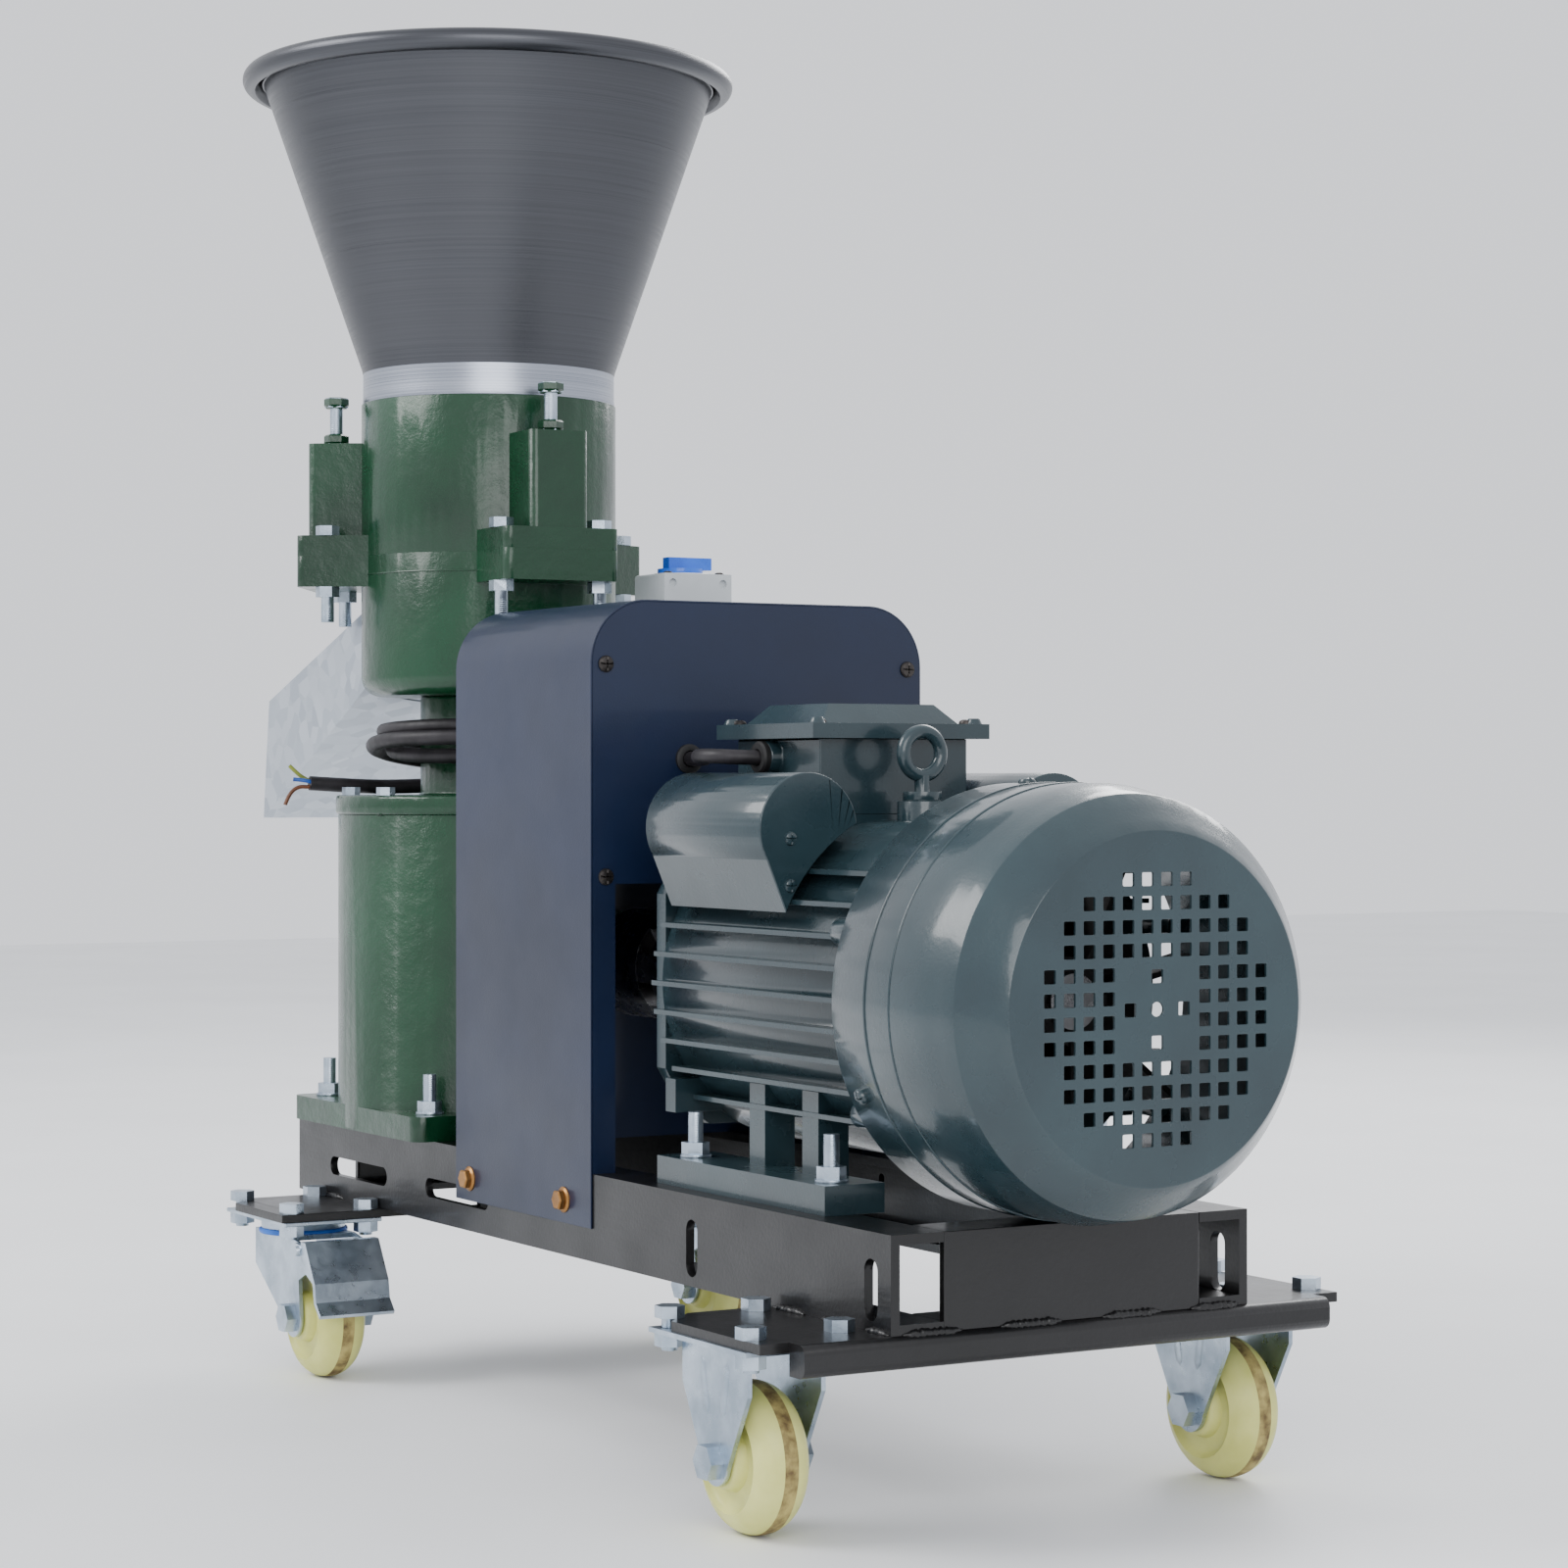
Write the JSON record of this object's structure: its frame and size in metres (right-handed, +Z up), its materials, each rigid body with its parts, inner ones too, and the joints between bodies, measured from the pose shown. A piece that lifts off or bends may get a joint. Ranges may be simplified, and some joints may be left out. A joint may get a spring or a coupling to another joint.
{
  "type": "flat-die feed pellet mill",
  "caption": "Wheeled flat-die feed pellet mill: tall conical hopper on a green gear case, side chute, guarded coupling and finned electric motor on a channel base with casters.",
  "frame": {"origin": "bottom centre of the machine's bounding box, on the floor under the wheels", "axes": "+Z up, +X from the hopper end toward the motor's fan cover, -Y is the long side with the terminal box's lead"},
  "size_m": [0.908, 0.353, 0.811],
  "materials": {
    "frame_paint": "satin black paint",
    "case_paint": "green enamel on castings",
    "hopper_steel": "spun sheet with fine turning lines",
    "chute_sheet": "galvanised sheet",
    "guard_paint": "dark blue powder coat",
    "motor_paint": "grey-green paint on castings",
    "zinc_steel": "bright zinc plate",
    "yellow_zinc": "yellow zinc plate",
    "machined_steel": "machined, lightly oiled",
    "die_iron": "ground and drilled",
    "wheel_nylon": "moulded nylon",
    "switch_plastic": "light grey moulding",
    "knob_plastic": "blue moulding",
    "cord_rubber": "black sheath",
    "core_plastic": "insulated cores",
    "fan_plastic": "black moulding",
    "winding": "laminated steel"
  },
  "bodies": {
    "root": {"near_rail": "frame_paint", "far_rail": "frame_paint", "frame_cross_channels": "frame_paint", "end_caster_carrier": "frame_paint", "swivel_carrier_near": "frame_paint", "swivel_carrier_far": "frame_paint", "caster_bolts": "zinc_steel", "rigid_fork_near": "zinc_steel", "rigid_fork_far": "zinc_steel", "swivel_top_near": "zinc_steel", "swivel_top_far": "zinc_steel", "gear_case": "case_paint", "gear_case_cover": "case_paint", "base_fasteners": "zinc_steel", "gearbox_bearings": "machined_steel", "discharge_chamber": "case_paint", "roller_chamber": "case_paint", "chamber_bolts": "zinc_steel", "discharge_chute": "chute_sheet", "guard_band": "guard_paint", "guard_motor_plate": "guard_paint", "guard_mill_plate": "guard_paint", "guard_screws": "yellow_zinc", "motor_frame": "motor_paint", "drive_end_shield": "motor_paint", "fan_cover": "motor_paint", "stator": "winding", "terminal_box": "motor_paint", "terminal_lid": "motor_paint", "capacitor_cover_near": "motor_paint", "capacitor_cover_far": "motor_paint", "eye_bolt": "zinc_steel", "switch_box": "switch_plastic", "switch_lid": "switch_plastic", "supply_cord_drop": "cord_rubber", "supply_cord_coil": "cord_rubber", "supply_cord_tail": "cord_rubber", "stripped_cores": "core_plastic", "motor_lead": "cord_rubber"},
    "motor_rotor": {"motor_rotor": "machined_steel", "cooling_fan": "fan_plastic"},
    "input_shaft": {"input_shaft": "machined_steel"},
    "main_shaft": {"main_shaft": "machined_steel", "ring_gear": "machined_steel", "flat_die": "die_iron"},
    "roller_carrier": {"roller_carrier": "machined_steel", "adjusting_bolts": "zinc_steel"},
    "roller_a": {"press_roller_a": "machined_steel"},
    "roller_b": {"press_roller_b": "machined_steel"},
    "roller_c": {"press_roller_c": "machined_steel"},
    "feed_hopper": {"feed_hopper": "hopper_steel"},
    "switch_knob": {"switch_knob": "knob_plastic"},
    "swivel_near": {"swivel_fork_near": "zinc_steel"},
    "swivel_far": {"swivel_fork_far": "zinc_steel"},
    "swivel_wheel_near": {"swivel_wheel_near": "wheel_nylon"},
    "swivel_wheel_far": {"swivel_wheel_far": "wheel_nylon"},
    "brake_near": {"brake_pedal_near": "zinc_steel"},
    "brake_far": {"brake_pedal_far": "zinc_steel"},
    "rigid_wheel_near": {"rigid_wheel_near": "wheel_nylon"},
    "rigid_wheel_far": {"rigid_wheel_far": "wheel_nylon"}
  },
  "joints": [
    {"name": "motor_spin", "type": "hinge", "parent": "root", "child": "motor_rotor", "pos_m": [0.026, 0.0035, 0.2575], "axis": [1, 0, 0], "continuous": true},
    {"name": "input_spin", "type": "hinge", "parent": "root", "child": "input_shaft", "pos_m": [-0.034, 0.0035, 0.2575], "axis": [1, 0, 0], "continuous": true},
    {"name": "main_spin", "type": "hinge", "parent": "root", "child": "main_shaft", "pos_m": [-0.22, -0.0215, 0.3], "axis": [0, 0, 1], "continuous": true},
    {"name": "roller_lift", "type": "slide", "parent": "root", "child": "roller_carrier", "axis": [0, 0, 1], "range_m": [0, 0.003]},
    {"name": "roller_a_spin", "type": "hinge", "parent": "roller_carrier", "child": "roller_a", "pos_m": [-0.17506, -0.02386, 0.5324], "axis": [0.9986, -0.0523, 0], "continuous": true},
    {"name": "roller_b_spin", "type": "hinge", "parent": "roller_carrier", "child": "roller_b", "pos_m": [-0.24043, 0.0186, 0.5324], "axis": [-0.454, 0.891, 0], "continuous": true},
    {"name": "roller_c_spin", "type": "hinge", "parent": "roller_carrier", "child": "roller_c", "pos_m": [-0.24451, -0.05924, 0.5324], "axis": [-0.5446, -0.8387, 0], "continuous": true},
    {"name": "hopper_lift", "type": "slide", "parent": "root", "child": "feed_hopper", "axis": [0, 0, 1], "range_m": [0, 0.15]},
    {"name": "switch_turn", "type": "hinge", "parent": "root", "child": "switch_knob", "pos_m": [-0.1183, 0.0605, 0.493], "axis": [0, 0, 1], "range_deg": [0, 90]},
    {"name": "swivel_turn_near", "type": "hinge", "parent": "root", "child": "swivel_near", "pos_m": [-0.251, -0.1345, 0.09], "axis": [0, 0, 1], "continuous": true},
    {"name": "swivel_roll_near", "type": "hinge", "parent": "swivel_near", "child": "swivel_wheel_near", "pos_m": [-0.217, -0.1345, 0.0375], "axis": [0, 1, 0], "continuous": true},
    {"name": "brake_press_near", "type": "hinge", "parent": "swivel_near", "child": "brake_near", "pos_m": [-0.201, -0.1345, 0.08], "axis": [0, -1, 0], "range_deg": [0, 12]},
    {"name": "rigid_roll_near", "type": "hinge", "parent": "root", "child": "rigid_wheel_near", "pos_m": [0.318, -0.1385, 0.0375], "axis": [0, 1, 0], "continuous": true},
    {"name": "swivel_turn_far", "type": "hinge", "parent": "root", "child": "swivel_far", "pos_m": [-0.251, 0.1415, 0.09], "axis": [0, 0, 1], "continuous": true},
    {"name": "swivel_roll_far", "type": "hinge", "parent": "swivel_far", "child": "swivel_wheel_far", "pos_m": [-0.217, 0.1415, 0.0375], "axis": [0, 1, 0], "continuous": true},
    {"name": "brake_press_far", "type": "hinge", "parent": "swivel_far", "child": "brake_far", "pos_m": [-0.201, 0.1415, 0.08], "axis": [0, -1, 0], "range_deg": [0, 12]},
    {"name": "rigid_roll_far", "type": "hinge", "parent": "root", "child": "rigid_wheel_far", "pos_m": [0.318, 0.1455, 0.0375], "axis": [0, 1, 0], "continuous": true}
  ],
  "couplings": [
    {"joint": "input_spin", "follows": "motor_spin", "ratio": 1},
    {"joint": "main_spin", "follows": "motor_spin", "ratio": 0.21622},
    {"joint": "roller_a_spin", "follows": "motor_spin", "ratio": 0.37422},
    {"joint": "roller_b_spin", "follows": "motor_spin", "ratio": 0.37422},
    {"joint": "roller_c_spin", "follows": "motor_spin", "ratio": 0.37422}
  ]
}
